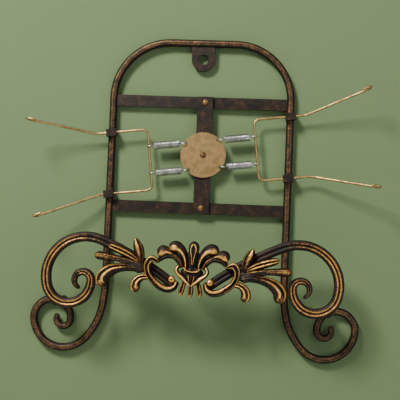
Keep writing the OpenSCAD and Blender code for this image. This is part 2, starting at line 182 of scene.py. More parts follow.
# Front scroll, as in the part's source
FRONT_OUT = [(33.5, -106), (19, -167), (7.1, -253)]
NECK = (36.0, 22.0)
SWEEP_R = 268.0
BAR_END_X = 12.5
sweep_start = step(turned(FRONT_TOP), NECK)
sweep_end = 180 - math.degrees(
    math.asin(math.sin(math.radians(sweep_start[2])) - (sweep_start[0] - BAR_END_X) / SWEEP_R)
)
front_path = through(FRONT_TOP, [NECK, (SWEEP_R, sweep_end - sweep_start[2])], FRONT_OUT)
sweep_centre = centre_of(sweep_start, SWEEP_R, 1)


def bar_y(x):
    """Height of the front bar's centre line at a distance x from the middle."""
    return sweep_centre[1] + math.sqrt(SWEEP_R**2 - (x - sweep_centre[0]) ** 2)


def crest_seated(points):
    """Elevation points of the crest's own layout, put where it sits and leans on the bars."""
    a = math.radians(-CREST_LEAN)
    x = CREST_SHIFT + points[:, 0] * math.cos(a) - points[:, 1] * math.sin(a)
    y = points[:, 0] * math.sin(a) + points[:, 1] * math.cos(a) + bar_y(RIVET_SPOTS[1]) - CREST_SEAT
    return np.stack([x, y, points[:, 2]], 1)


# Lower scroll and hoop, as in the part's source
MEET_ANGLE = -59.0
SCROLL_BOTTOM_R = 19.0
SCROLL_GAP = 5.4
LOBE_R = 16.4
LOBE_SIDE = -3.4
meet = np.array([math.cos(math.radians(MEET_ANGLE)), math.sin(math.radians(MEET_ANGLE))])
bottom_centre = centre_of(path_end(FRONT_TOP, FRONT_OUT[:1]), SCROLL_BOTTOM_R, -1)
lobe_centre = bottom_centre + (SCROLL_BOTTOM_R + SCROLL_GAP + LOBE_R) * meet
standoff_at = bottom_centre + (SCROLL_BOTTOM_R + SCROLL_GAP / 2) * meet
lobe_angle = math.radians(LOBE_SIDE)
lobe_start = (
    lobe_centre[0] + LOBE_R * math.cos(lobe_angle),
    lobe_centre[1] + LOBE_R * math.sin(lobe_angle),
    LOBE_SIDE + 90,
)
LOWER_IN = [(LOBE_R, 190), (6.3, 220)]
LOWER_OUT = [(26.5, -133.5), (58, -34.2)]
LEAN_R = 150.0
upright_foot = path_end(turned(lobe_start), LOWER_OUT)
lean = (LEAN_R, 90 - upright_foot[2])
upright_start = step(upright_foot, lean)
upright_x = upright_start[0]
hoop_y = PLATE_RISE + HOOP_RISE
back_path = through(
    turned(lobe_start),
    LOWER_IN,
    LOWER_OUT + [
        lean,
        (hoop_y - SHOULDER_R - upright_start[1], 0),
        (SHOULDER_R, 90),
        (upright_x - SHOULDER_R, 0),
    ],
)

# ---- Mesh building ---------------------------------------------------------------------------


SHARP_ANGLE = 50        # degrees between two faces of a form, past which their edge is sharp


class Shell:
    """Collects closed lofted forms in elevation millimetres, with a rub value at each vertex."""

    def __init__(self):
        self.points, self.rub, self.faces, self.count = [], [], [], 0

    def loft(self, rings, rub):
        """A closed form through rings of equal count, of shape (rings, ring points, 3)."""
        rings = np.asarray(rings, float)
        n, m = rings.shape[:2]
        at = self.count
        self.points.append(rings.reshape(-1, 3))
        self.rub.append(np.broadcast_to(rub, (n, m)).reshape(-1))
        for i in range(n - 1):
            for j in range(m):
                k = (j + 1) % m
                a, b = at + i * m, at + (i + 1) * m
                self.faces.append((a + j, a + k, b + k, b + j))
        self.faces.append(tuple(range(at, at + m)))
        self.faces.append(tuple(range(at + (n - 1) * m, at + n * m)))
        self.count += n * m

    def mirrored(self, both=False):
        """Turns the forms left for right, or adds the mirror image of every form."""
        flip = np.array([-1.0, 1.0, 1.0])
        if not both:
            self.points = [p * flip for p in self.points]
            return
        self.faces += [tuple(v + self.count for v in f) for f in self.faces]
        self.points += [p * flip for p in self.points]
        self.rub += list(self.rub)
        self.count *= 2

    def object(self, name, material, rough=0.0, rough_size=4.0, seed=0.0, transform=None):
        """The forms as one mesh object in the row frame, roughened by noise along its normals."""
        points = np.concatenate(self.points)
        if transform is not None:
            points = transform(points)
        mesh = bpy.data.meshes.new(name)
        mesh.from_pydata(rows(points).tolist(), [], self.faces)
        work = bmesh.new()
        work.from_mesh(mesh)
        bmesh.ops.recalc_face_normals(work, faces=work.faces)
        work.normal_update()
        if rough:
            shift = Vector((seed, 0, 0))
            for v in work.verts:
                p = v.co / (rough_size * MM) + shift
                push = noise.noise(p) + 0.5 * noise.noise(p * 2.7)
                v.co += v.normal * push * rough * MM
        work.to_mesh(mesh)
        work.free()
        mesh.shade_smooth()
        mesh.set_sharp_from_angle(angle=math.radians(SHARP_ANGLE))
        layer = mesh.attributes.new("rub", "FLOAT", "POINT")
        layer.data.foreach_set("value", np.concatenate(self.rub).astype(np.float32))
        piece = bpy.data.objects.new(name, mesh)
        bpy.context.scene.collection.objects.link(piece)
        mesh.materials.append(material)
        return piece


def arc_lengths(points):
    """The distance along a line at each of its points."""
    return np.concatenate([[0], np.cumsum(np.linalg.norm(np.diff(points, axis=0), axis=1))])


def spline(knots, spacing):
    """A smooth line through knots of any number of values, resampled about that far apart."""
    k = np.asarray(knots, float)
    k = np.vstack([2 * k[0] - k[1], k, 2 * k[-1] - k[-2]])
    t = np.linspace(0, 1, 13)[:, None]
    parts = []
    for a, b, c, d in zip(k, k[1:], k[2:], k[3:]):
        parts.append(0.5 * (2 * b + (c - a) * t + (2 * a - 5 * b + 4 * c - d) * t**2
                            + (3 * b - a - 3 * c + d) * t**3)[:-1])
    line = np.vstack(parts + [k[-2][None]])
    s = arc_lengths(line[:, :2])
    even = np.linspace(0, s[-1], max(4, round(s[-1] / spacing)))
    return np.stack([np.interp(even, s, column) for column in line.T], 1), even


def end_scale(s, radius, ends):
    """1 along the middle of a form, falling to nearly 0 as a quarter circle at its round ends."""
    scale = np.ones_like(s)
    for which, distance in (("start", s), ("end", s[-1] - s)):
        if which in ends:
            q = np.clip(1 - distance / radius, 0, 0.995)
            scale *= np.sqrt(1 - q**2)
    return scale


def dense_ends(line, s, radius, ends):
    """More rings where a form's round ends curve, so that they come out round."""
    even = list(s)
    for which in ends:
        for q in (0.02, 0.08, 0.2, 0.4, 0.65):
            even.append(q * radius if which == "start" else s[-1] - q * radius)
    even = np.array(sorted(e for e in even if 0 <= e <= s[-1]))
    return np.stack([np.interp(even, s, column) for column in line.T], 1), even


def headings(points):
    """Unit vectors along a line of x, y points."""
    d = np.gradient(points, axis=0)
    return d / np.linalg.norm(d, axis=1)[:, None]


ACROSS = 30             # points across the front of a cast ribbon
BACK_POINTS = 4         # points across its back
RING_SPACING = 0.7      # from one ring of a ribbon to the next
DOME_POWER = 2.4        # 2 gives a round cross-section, and more a squarer one
END_LENGTH = 1.2        # length of a round end, in half widths
END_HEIGHT = 0.35       # share of the height that is left at the very end
SUNK = 0.6              # how far a ribbon's back reaches behind the crest's back


def along(t, value):
    """The value at each share t of a path, as a column: a number, or a start and an end."""
    return np.interp(t, (0, 1), value if isinstance(value, tuple) else (value, value))[:, None]


def ribbon(shell, knots, ridges, ends=("start", "end")):
    """A cast ribbon: knots of x, y, half width and height, with ridges (or grooves) along it.

    A ridge is its place across, from -1 on the right of the path to 1 on the left, its width,
    its rise in millimetres, and its rub. Place and rub are numbers, or pairs of numbers for the
    path's start and end.
    """
    line, s = spline(knots, RING_SPACING)
    radius = END_LENGTH * max(line[0, 2] if "start" in ends else 0, line[-1, 2] if "end" in ends else 0)
    line, s = dense_ends(line, s, radius, ends)
    scale = end_scale(s, radius, ends)
    heading = headings(line[:, :2])
    left = np.stack([-heading[:, 1], heading[:, 0]], 1)
    u = np.cos(np.pi * np.arange(ACROSS) / (ACROSS - 1))
    t = s / s[-1]
    dome = (1 - np.abs(u) ** DOME_POWER) ** (1 / DOME_POWER)
    height = np.outer(line[:, 3] * (END_HEIGHT + (1 - END_HEIGHT) * scale), dome)
    rub = np.zeros_like(height)
    for place, width, rise, gold in ridges:
        across = (u - along(t, place)) / width
        height += rise * scale[:, None] * np.exp(-(across**2)) * (1 - np.abs(u) ** 8)
        shown = along(t, gold) * np.clip(scale * 1.5, 0, 1)[:, None]
        rub = np.maximum(rub, shown * np.exp(-((across / 0.8) ** 2)))
    reach = line[:, 2] * scale
    front = np.empty((len(s), ACROSS, 3))
    front[..., 0] = line[:, 0, None] + left[:, 0, None] * np.outer(reach, u)
    front[..., 1] = line[:, 1, None] + left[:, 1, None] * np.outer(reach, u)
    front[..., 2] = crest_z + height
    v = np.linspace(-0.9, 0.9, BACK_POINTS)
    back = np.empty((len(s), BACK_POINTS, 3))
    back[..., 0] = line[:, 0, None] + left[:, 0, None] * np.outer(reach, v)
    back[..., 1] = line[:, 1, None] + left[:, 1, None] * np.outer(reach, v)
    back[..., 2] = crest_z - SUNK
    rings = np.concatenate([front, back], 1)
    shell.loft(rings, np.concatenate([rub, np.zeros((len(s), BACK_POINTS))], 1))


def ball(shell, x, y, r, height, rub, dimple=False):
    """A cast ball, its top at that height over the crest's back, bare or with a dark dimple."""
    rings = []
    angles = np.pi * np.arange(1, 16) / 16
    turn = 2 * np.pi * np.arange(24) / 24
    for angle in angles:
        across = r * math.sin(angle)
        ring = np.stack([x + across * np.cos(turn), y + across * np.sin(turn),
                         np.full(24, crest_z + height - r + r * math.cos(angle))], 1)
        rings.append(ring)
    shown = np.clip(np.cos(angles), 0, 1) ** 0.7
    if dimple:
        shown[0] = 0.1
    shell.loft(rings, (rub * shown)[:, None])


def sweep(shell, path, z, section, taper, spacing):
    """A bar along a path, its rings about that far apart.

    section gives a ring's points across and out and their rub, and taper its scales across and
    out, both from the distance along the path and its whole length.
    """
    points = trace(*path, spacing)
    s = arc_lengths(points[:, :2])
    h = np.radians(points[:, 2])
    left = np.stack([-np.sin(h), np.cos(h)], 1)
    rings, rubs = [], []
    for i, distance in enumerate(s):
        across, out, shine = section(distance, s[-1])
        k, d = taper(distance, s[-1])
        ring = np.empty((len(across), 3))
        ring[:, 0] = points[i, 0] + left[i, 0] * across * k
        ring[:, 1] = points[i, 1] + left[i, 1] * across * k
        ring[:, 2] = z + out * d
        rings.append(ring)
        rubs.append(shine)
    shell.loft(rings, np.array(rubs))


def tube(shell, points, radius, sides):
    """A round wire through 3D points, with rounded ends and no rub, which no wire finish shows."""
    p = np.asarray(points, float)
    t = np.gradient(p, axis=0)
    t /= np.linalg.norm(t, axis=1)[:, None]
    side = np.cross(t[0], (0.0, 0.0, 1.0) if abs(t[0][2]) < 0.9 else (1.0, 0.0, 0.0))
    side /= np.linalg.norm(side)
    turn = 2 * np.pi * np.arange(sides) / sides
    rings = []
    last = len(p) - 1
    for i in range(last + 1):
        side = side - t[i] * (side @ t[i])
        side /= np.linalg.norm(side)
        other = np.cross(t[i], side)
        ring = radius * (np.cos(turn)[:, None] * side + np.sin(turn)[:, None] * other)
        if i == 0:
            rings += [p[0] + t[0] * radius * (1 - math.sin(a)) + ring * math.cos(a)
                      for a in (1.45, 1.1, 0.7, 0.3)]
        elif i == last:
            rings += [p[-1] - t[-1] * radius * (1 - math.sin(a)) + ring * math.cos(a)
                      for a in (0.3, 0.7, 1.1, 1.45)]
        else:
            rings.append(p[i] + ring)
    shell.loft(rings, 0.0)


LATHE_SIDES = 32


def lathe(shell, x, y, profile, rub):
    """A turned form about an axis out of the wall: profile of radius and depth pairs."""
    turn = 2 * np.pi * np.arange(LATHE_SIDES) / LATHE_SIDES
    rings = [
        np.stack([x + r * np.cos(turn), y + r * np.sin(turn), np.full(LATHE_SIDES, z)], 1)
        for r, z in profile
    ]
    shell.loft(rings, rub)


# ---- Materials -------------------------------------------------------------------------------


class Nodes:
    """A short way to wire a material's nodes."""

    def __init__(self, name):
        self.material = bpy.data.materials.new(name)
        self.material.use_nodes = True
        self.tree = self.material.node_tree
        self.shader = self.tree.nodes["Principled BSDF"]
        self.coords = self.add("ShaderNodeTexCoord").outputs["Object"]

    def add(self, kind, **values):
        node = self.tree.nodes.new(kind)
        for key, value in values.items():
            setattr(node, key, value)
        return node

    def link(self, output, socket):
        self.tree.links.new(output, socket)

    def noise(self, size_mm, detail=4.0, roughness=0.6):
        """Noise whose features are about that many millimetres across."""
        node = self.add("ShaderNodeTexNoise")
        node.inputs["Scale"].default_value = 1 / (size_mm * MM)
        node.inputs["Detail"].default_value = detail
        node.inputs["Roughness"].default_value = roughness
        self.link(self.coords, node.inputs["Vector"])
        return node.outputs["Fac"]

    def math(self, operation, a, b):
        """One operation on two values, each a number or a node's output."""
        node = self.add("ShaderNodeMath", operation=operation)
        for socket, value in zip(node.inputs, (a, b)):
            if isinstance(value, (int, float)):
                socket.default_value = value
            else:
                self.link(value, socket)
        return node.outputs[0]

    def span(self, value, low, high, to_low=0.0, to_high=1.0):
        """The value spread from one span to another, clamped and eased."""
        node = self.add("ShaderNodeMapRange", interpolation_type="SMOOTHSTEP")
        self.link(value, node.inputs["Value"])
        for key, number in (("From Min", low), ("From Max", high),
                            ("To Min", to_low), ("To Max", to_high)):
            node.inputs[key].default_value = number
        return node.outputs["Result"]

    def mix(self, factor, a, b):
        """A colour between two, each a triple or a node's output."""
        node = self.add("ShaderNodeMix", data_type="RGBA")
        self.link(factor, node.inputs["Factor"])
        for socket, value in ((node.inputs[6], a), (node.inputs[7], b)):
            if isinstance(value, tuple):
                socket.default_value = (*value, 1.0)
            else:
                self.link(value, socket)
        return node.outputs[2]

    def attribute(self, name):
        return self.add("ShaderNodeAttribute", attribute_name=name).outputs["Fac"]

    def bump(self, height, strength, depth_mm):
        node = self.add("ShaderNodeBump")
        node.inputs["Strength"].default_value = strength
        node.inputs["Distance"].default_value = depth_mm * MM
        self.link(height, node.inputs["Height"])
        self.link(node.outputs["Normal"], self.shader.inputs["Normal"])

    def set(self, **sockets):
        """Sets or wires the shader's sockets, whose names have _ for each space."""
        for key, value in sockets.items():
            socket = self.shader.inputs[key.replace("_", " ")]
            if isinstance(value, (int, float, tuple)):
                socket.default_value = (*value, 1.0) if isinstance(value, tuple) else value
            else:
                self.link(value, socket)


DARK = (0.0035, 0.0018, 0.0010)
BROWN = (0.020, 0.0092, 0.0038)
GOLD = (0.46, 0.225, 0.06)
# Pale gold of the peaks: partly polished wax, partly a painted highlight
PALE_GOLD_HIGHLIGHT = (0.90, 0.52, 0.14)


def rubbed_bronze(name, low, high, highlight_from, gold=GOLD, pale=PALE_GOLD_HIGHLIGHT):
    """Dark bronze paint under a rub of gold wax, brown-gold first and pale on the peaks only.

    The wax starts at the rub value low, covers at high, and turns pale past the last threshold:
    that pale gold is partly polish and partly a painted highlight.
    """
    n = Nodes(name)
    patches = n.math("MULTIPLY", n.math("SUBTRACT", n.noise(4.5), 0.5), 0.55)
    grain = n.noise(1.5, detail=6.0, roughness=0.75)
    speckle = n.math("MULTIPLY", n.math("SUBTRACT", grain, 0.5), 1.5)
    wear_and_highlight = n.math("ADD", n.attribute("rub"), n.math("ADD", patches, speckle))
    cover = n.span(wear_and_highlight, low, high)
    under = n.mix(n.span(n.noise(9.0), 0.35, 0.75), DARK, BROWN)
    # Gold wax that turns to pale gold on the peaks, partly a painted highlight
    wax = n.mix(n.span(wear_and_highlight, highlight_from, highlight_from + 0.45), gold, pale)
    n.set(
        Base_Color=n.mix(cover, under, wax),
        Metallic=n.math("MULTIPLY", cover, 0.8),
        Roughness=n.math("ADD", n.span(cover, 0, 1, 0.46, 0.30), n.math("MULTIPLY", grain, 0.16)),
        Specular_IOR_Level=0.2,
    )
    n.bump(n.math("ADD", grain, n.math("MULTIPLY", patches, 1.2)), 0.5, 0.2)
    return n.material


def drawn_wire(name, base, dull, roughness):
    """Bright drawn wire, tarnished in patches, with fine scratches."""
    n = Nodes(name)
    patches = n.span(n.noise(6.0), 0.4, 0.65)
    scratches = n.noise(0.25, detail=3.0)
    n.set(
        Base_Color=n.mix(patches, base, dull),
        Metallic=1.0,
        Roughness=n.math("ADD", n.span(patches, 0, 1, roughness, roughness + 0.2),
                         n.math("MULTIPLY", scratches, 0.1)),
    )
    n.bump(scratches, 0.25, 0.03)
    return n.material


def rubber(name):
    """Black rubber, dusty in patches, with a fine matt grain."""
    n = Nodes(name)
    fine = n.noise(0.4, detail=5.0)
    n.set(
        Base_Color=n.mix(n.span(n.noise(3.0), 0.3, 0.7), (0.018, 0.018, 0.018),
                         (0.04, 0.038, 0.036)),
        Roughness=n.span(fine, 0.3, 0.7, 0.75, 0.92),
    )
    n.bump(fine, 0.4, 0.05)
    return n.material


# Each finish turns to pale gold on its peaks, partly a painted highlight
gilt = rubbed_bronze("gilt_bronze", 0.30, 0.80, 0.80)
frame_bronze = rubbed_bronze("back_bronze", 0.2, 0.9, 0.6, (0.27, 0.135, 0.048), (0.60, 0.35, 0.12))
brass_wire = drawn_wire("claw_brass", (0.42, 0.28, 0.12), (0.22, 0.135, 0.06), 0.30)
steel_wire = drawn_wire("spring_steel", (0.56, 0.56, 0.55), (0.30, 0.29, 0.28), 0.22)
pad_rubber = rubber("pad_rubber")


def finished(piece, body, slot, *nodes):
    """The piece stands for these CAD nodes, which it hides, on that body; slot is not used."""
    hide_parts(*nodes)
    if body:
        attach(piece, body)


SIDES = {"right": False, "left": True}

# ---- Front scrolls ---------------------------------------------------------------------------

BEAD_R = BAR_W / 4 + 0.2
BEAD_END = 138          # degrees round a bead where it ends, by the groove between the two
BEAD_RUB = 0.78         # rub on the top of a bead, high enough in places to turn to the pale painted highlight
BEAD_RUB_AT = 102       # where that rub is round the bead, and how wide, in degrees
BEAD_RUB_WIDTH = 20
CREST_SHADE_RUB = 0.1          # share of the rub left where the bar runs behind the crest, a painted shade of the crest
CREST_SHADE_END = (54.0, 112.0)    # lengths along the bar over which that painted shade gives way and the rub grows to full
TIP_RUN = 46.0          # how far a front bar's taper reaches back from its tip
TIP_WIDTH = 0.3         # width, depth and rub at the tip, as shares of the bar's own
TIP_DEPTH = 0.66
TIP_RUB = 0.45
TIP_ROUND = 2.0         # length of the tip's rounded end


def reeded_section(distance, length):
    """Flat back with rounded corners, two round beads in front, and the rub on each bead."""
    # Less rub behind the crest, a painted shade, and less again towards the tip
    rub_share_with_shade = np.interp(distance, CREST_SHADE_END, (CREST_SHADE_RUB, 1.0))
    rub_share_with_shade *= np.interp(length - distance, (0, TIP_RUN), (TIP_RUB, 1.0))
    bead_x = BAR_W / 2 - BEAD_R
    bead_y = BAR_D / 2 - BEAD_R
    right = [(bead_x + BEAD_R * math.cos(a), bead_y + BEAD_R * math.sin(a), a)
             for a in np.radians(np.linspace(0, BEAD_END, 15))]
    across = [0.35 * BAR_W, BAR_W / 2 - 0.35, BAR_W / 2, BAR_W / 2 + 0.05]
    out = [-BAR_D / 2, -BAR_D / 2 + 0.3, -BAR_D / 2 + 1.1, -0.4]
    shine = [0.0, 0.05, 0.15, 0.05]
    for x, y, a in right:
        across.append(x)
        out.append(y)
        shine.append(BEAD_RUB * math.exp(-(((math.degrees(a) - BEAD_RUB_AT) / BEAD_RUB_WIDTH) ** 2)))
    across += [0.0]
    out += [bead_y + 0.9]
    shine += [0.12]
    half = list(zip(across, out, shine))
    whole = half + [(-a, b, c) for a, b, c in reversed(half[:-1])]
    table = np.array(whole)
    return table[:, 0], table[:, 1], table[:, 2] * rub_share_with_shade


def rounded_end(to_end, run):
    """The scale of a bar that ends in a quarter circle of that length, never quite 0."""
    return math.sqrt(max(0.002, 1 - max(0.0, 1 - to_end / run) ** 2))


def front_taper(distance, length):
    """The scales of a front bar, which narrows and thins towards its tip."""
    near = min(1.0, (length - distance) / TIP_RUN)
    cap = rounded_end(length - distance, TIP_ROUND)
    width = TIP_WIDTH + (1 - TIP_WIDTH) * near**0.6
    return width * cap, (TIP_DEPTH + (1 - TIP_DEPTH) * near) * cap


for side, left in SIDES.items():
    shell = Shell()
    sweep(shell, front_path, bar_z, reeded_section, front_taper, spacing=1.1)
    if left:
        shell.mirrored()
    bar = shell.object("scroll_bar_" + side, gilt, rough=0.16, rough_size=7, seed=11 if left else 3)
    finished(bar, "root", "gilt_bronze", "front_scroll_" + side)

# ---- Back frame and lower scrolls ------------------------------------------------------------

LOWER_TIP_RUN = 34.0    # how far a lower scroll's taper reaches back from its tip
LOWER_TIP = 0.72        # its scale at the tip
LOWER_TIP_ROUND = 1.6   # length of the tip's rounded end
HAMMER = 0.05           # share by which the forged bar leaves a true circle
# A broad rub on the bar's front and a streak on each side: degrees round the bar, amount, width
BAR_RUBS = ((90, 0.28, 26), (68, 0.32, 10), (110, 0.32, 10))


def round_section(distance, length):
    """The same hammered round all along the bar, with its rub."""
    turn = 2 * np.pi * np.arange(36) / 36
    flat = 1 - HAMMER * np.cos(2 * turn) ** 2
    shine = np.zeros_like(turn)
    for place, amount, width in BAR_RUBS:
        shine += amount * np.exp(-(((np.degrees(turn) - place) / width) ** 2))
    return BACK_R * flat * np.cos(turn), BACK_R * flat * np.sin(turn), shine


def lower_taper(distance, length):
    """The scale of a back bar, which starts at its lower scroll's tip."""
    near = min(1.0, distance / LOWER_TIP_RUN)
    scale = (LOWER_TIP + (1 - LOWER_TIP) * near**0.75) * rounded_end(distance, LOWER_TIP_ROUND)
    return scale, scale


for side, left in SIDES.items():
    shell = Shell()
    sweep(shell, back_path, BACK_Z, round_section, lower_taper, spacing=1.5)
    if left:
        shell.mirrored()
    bar = shell.object("back_frame_" + side, frame_bronze, rough=0.14, rough_size=8,
                       seed=23 if left else 17)
    finished(bar, "root", "back_bronze", "back_bar_" + side)

# ---- Crest -----------------------------------------------------------------------------------

# The gilt outline of a drop: two edges that close round its end
DROP_EDGES = [(0.62, 0.22, 0.7, 1.15), (-0.62, 0.22, 0.7, 1.15), (0.0, 0.7, 0.0, (-3.6, 1.8)),
              (0.0, 0.34, -1.2, 0.0)]


def crest_half(shell):
    """One half of the crest's middle, its right half."""
    # Arch: a curled leaf over the volute, gilt along its inner edge and on its curled end
    ribbon(shell, [(5.4, 0.6, 1.3, 4.4), (5.6, 6.4, 2.0, 5.6), (7.6, 12.6, 3.0, 6.6),
                   (11.2, 17.2, 4.2, 6.9), (15.6, 18.9, 4.9, 7.3), (20.8, 16.8, 4.0, 6.9)],
           [((0.05, -0.5), 0.42, 0.8, (1.0, 1.4)), (-0.05, 0.55, 0.3, (-2.0, 1.35)),
            ((0.7, 0.5), 0.2, -0.5, 0.0)], ("end",))
    # Leaf under the arch
    ribbon(shell, [(8.6, 1.8, 1.9, 3.0), (11.0, 7.2, 3.0, 4.0), (15.6, 11.2, 3.2, 4.4),
                   (21.4, 11.8, 3.4, 4.4), (26.0, 9.4, 2.8, 4.4), (28.4, 5.4, 1.7, 4.2)],
           [(0.1, 0.14, 0.7, (1.1, -0.1)), (-0.5, 0.16, 0.6, (0.4, 0.2)), (0.5, 0.2, -0.6, 0.0)],
           ("end",))
    # Second lobe
    ribbon(shell, [(17.6, 13.0, 1.8, 5.2), (21.8, 14.6, 3.4, 6.4), (25.8, 14.4, 4.7, 6.9),
                   (29.0, 10.2, 3.4, 6.2)],
           [((-0.2, -0.6), 0.4, 0.6, (1.0, 1.3)), (-0.1, 0.5, 0.3, (-0.8, 1.6)),
            (0.5, 0.2, -0.4, 0.0)], ("end",))
    # Volute: two gilt edges from its tip, then one broad gilt band along the inner edge
    ribbon(shell, [(28.0, 4.2, 0.8, 4.6), (31.0, 6.0, 2.0, 5.4), (34.7, 6.7, 3.3, 6.0),
                   (37.6, 2.6, 2.9, 6.0), (37.4, -2.8, 2.8, 5.8), (34.8, -8.0, 2.8, 5.8),
                   (29.8, -12.6, 3.0, 6.0), (24.0, -16.2, 3.1, 6.2), (18.0, -17.2, 2.9, 6.2),
                   (13.2, -14.6, 2.3, 5.8), (11.6, -9.6, 1.4, 5.0)],
           [(0.7, 0.26, 0.8, (1.7, -0.4)), (-0.6, 0.24, 0.9, 1.2), (-0.3, 0.42, 0.5, (-0.8, 1.6)),
            ((0.1, 0.4), 0.22, -1.3, 0.0)])
    ball(shell, 16.0, -8.4, 3.0, 7.6, 1.1, dimple=True)
    # Collar
    ribbon(shell, [(11.0, 4.0, 1.2, 5.8), (12.9, 0.2, 1.6, 6.8), (11.4, -3.2, 1.7, 7.2),
                   (7.6, -6.1, 2.3, 7.6), (4.5, -9.0, 1.9, 7.4), (1.8, -11.2, 1.5, 7.0),
                   (0.2, -13.8, 1.0, 6.2)],
           [(0.0, 0.6, 0.4, 1.4)])
    # Lines of the collar's middle
    ribbon(shell, [(2.5, -3.4, 0.7, 5.6), (2.2, -6.6, 0.9, 6.2), (1.2, -9.6, 0.7, 6.2)],
           [(0.0, 0.5, 0.3, 0.9)])
    # Outer drop
    ribbon(shell, [(5.6, -9.0, 1.4, 4.4), (6.6, -13.2, 2.3, 5.4), (7.6, -17.2, 2.4, 5.6),
                   (8.3, -21.6, 1.9, 4.8)],
           DROP_EDGES, ("end",))
    # Lower tendril
    ribbon(shell, [(36.2, -8.4, 2.1, 4.4), (41.4, -9.1, 3.0, 5.2), (45.4, -12.4, 3.8, 6.0),
                   (46.6, -16.8, 4.2, 6.6), (45.0, -22.0, 4.1, 6.2)],
           [(0.66, 0.24, 0.8, (1.1, 1.3)), (-0.3, 0.28, 0.8, (1.0, 1.3)), (0.2, 0.18, -1.1, 0.0)],
           ("end",))
    ball(shell, 45.4, -18.2, 3.2, 7.0, 0.45)


def crest_middle():
    """The crest's middle casting: both halves, and what stands between them."""
    shell = Shell()
    crest_half(shell)
    shell.mirrored(both=True)
    # Bud, with a gilt drop outlined on it
    ribbon(shell, [(0.0, -1.0, 1.3, 4.6), (0.0, 6.0, 2.0, 5.4), (0.0, 13.0, 3.4, 6.0),
                   (0.0, 19.0, 4.5, 6.4), (0.0, 24.8, 3.8, 5.8)],
           [(0.0, 0.5, -0.8, 0.0), (0.8, 0.14, 0.3, 0.3), (-0.8, 0.14, 0.3, 0.3)], ("end",))
    outline = [(0.5, 4.4, 0.6), (0.8, 10.0, 0.7), (1.7, 14.0, 0.9), (2.3, 17.2, 1.1),
               (1.7, 20.2, 1.4), (0.1, 22.4, 1.3)]
    for flip in (1, -1):
        ribbon(shell, [(flip * x, y, half, 6.9) for x, y, half in outline],
               [(0.0, 0.6, 0.2, 1.2)])
    # Dark web behind the bud, between the arches
    ribbon(shell, [(0.0, -1.0, 4.0, 3.0), (0.0, 6.0, 4.6, 3.4), (0.0, 12.0, 5.8, 3.4),
                   (0.0, 18.0, 6.4, 3.2)],
           [(0.85, 0.14, 0.4, 0.1), (-0.85, 0.14, 0.4, 0.1)], ("end",))
    # Face of the collar
    ribbon(shell, [(0.0, 4.6, 11.6, 4.2), (0.0, 1.0, 12.6, 4.8), (0.0, -3.0, 10.6, 5.2),
                   (0.0, -7.0, 6.4, 5.4), (0.0, -13.0, 3.4, 5.0)],
           [(0.3, 0.12, -0.7, 0.0), (-0.3, 0.12, -0.7, 0.0)])
    # Swag
    ribbon(shell, [(-7.2, 2.4, 0.8, 6.0), (-5.4, 0.4, 1.0, 6.8), (-2.8, -0.6, 1.1, 7.0),
                   (0.0, -0.9, 1.2, 7.2), (2.8, -0.6, 1.1, 7.0), (5.4, 0.4, 1.0, 6.8),
                   (7.2, 2.4, 0.8, 6.0)],
           [(0.0, 0.55, 0.3, 1.1)])
    # Middle drop
    ribbon(shell, [(0.0, -12.0, 1.9, 5.0), (0.0, -17.0, 2.7, 5.8), (0.0, -22.0, 2.1, 5.2)],
           DROP_EDGES, ("end",))
    return shell


def crest_spray():
    """The leaves and the tendril beside the crest, on its right."""
    shell = Shell()
    # Root of the leaves
    ribbon(shell, [(38.6, -3.0, 3.4, 3.6), (44.0, -0.8, 5.4, 4.4), (50.6, 0.8, 4.8, 4.2),
                   (58.0, 1.8, 2.4, 3.4)],
           [(place, 0.1, 0.7, 0.33) for place in (0.7, 0.32, -0.02, -0.36, -0.72)])
    # Spear leaf
    ribbon(shell, [(43.2, 1.4, 1.8, 4.2), (44.4, 8.4, 3.6, 5.6), (46.5, 14.8, 4.2, 6.4),
                   (48.4, 19.4, 2.9, 6.0), (49.5, 23.4, 0.8, 4.8)],
           [(-0.05, 0.46, 0.6, (0.0, 1.5)), (0.8, 0.14, 0.4, 0.6), (0.55, 0.12, -0.9, 0.0)])
    # Upper leaf, with two gilt ridges
    ribbon(shell, [(45.6, 4.4, 1.8, 4.2), (53.0, 8.4, 3.4, 5.4), (61.0, 11.6, 3.7, 5.8),
                   (67.0, 13.6, 3.2, 5.8), (71.8, 14.9, 2.2, 5.0)],
           [(0.5, 0.24, 0.9, (0.9, 1.5)), (-0.34, 0.24, 0.9, (0.9, 1.3)), (0.1, 0.16, -1.1, 0.0),
            (-0.8, 0.1, 0.2, 0.4)], ("end",))
    # Long leaf with a blunt tip, crusty towards its root
    ribbon(shell, [(47.0, 1.6, 2.2, 4.4), (56.0, 3.4, 2.9, 5.4), (65.0, 4.8, 2.7, 5.8),
                   (73.0, 5.5, 3.3, 6.8), (78.0, 5.8, 3.6, 7.2), (83.0, 5.8, 3.2, 6.4)],
           [(0.0, 0.6, 0.3, (0.1, 0.68)), (-0.6, 0.2, 0.5, 0.4), (0.5, 0.2, 0.5, 0.6)], ("end",))
    # Long tendril: gilt outer edge, groove, gilt ridge, and a broad dark inner side
    ribbon(shell, [(44.6, -3.2, 2.0, 4.0), (52.0, -2.2, 3.0, 4.8), (60.0, -2.8, 3.7, 5.6),
                   (67.0, -5.0, 4.8, 6.0), (72.0, -8.6, 5.5, 6.4), (74.7, -13.0, 5.7, 6.7),
                   (73.2, -20.4, 5.2, 6.6)],
           [(0.82, 0.17, 0.8, (0.5, 1.5)), ((0.26, -0.1), 0.24, 0.9, (0.1, 1.6)),
            ((0.55, 0.4), 0.15, -1.2, 0.0)],
           ("end",))
    ball(shell, 74.6, -16.4, 3.6, 7.5, 0.5)
    return shell


